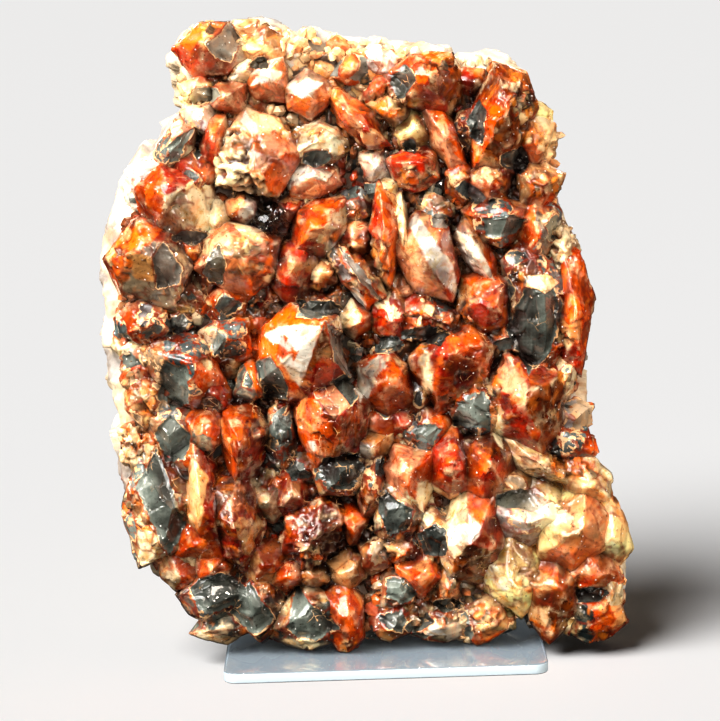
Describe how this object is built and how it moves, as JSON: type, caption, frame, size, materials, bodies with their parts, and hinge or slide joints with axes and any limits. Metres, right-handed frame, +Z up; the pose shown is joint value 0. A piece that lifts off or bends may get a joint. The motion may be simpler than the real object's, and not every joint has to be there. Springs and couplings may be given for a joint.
{
  "type": "amethyst in matrix",
  "caption": "Cabinet mineral specimen: a druse of blunt iron-stained quartz crystals on a pale rock slab, leaning on a clear acrylic stand.",
  "frame": {"origin": "centre of the base plate's underside", "axes": "+Z up; the crystals face -Y and the stone leans 6 degrees back towards +Y"},
  "size_m": [0.1458, 0.088, 0.1762],
  "materials": {
    "host_rock": "rough broken chalcedony and quartz rock",
    "iron_stained_quartz": "glossy, coated orange to deep red by iron oxide, smoky grey where broken",
    "clear_acrylic": "clear cast acrylic sheet with polished edges"
  },
  "bodies": {
    "root": {"matrix": "host_rock", "crystals": "iron_stained_quartz", "stand_base": "clear_acrylic", "stand_back": "clear_acrylic"}
  },
  "joints": []
}
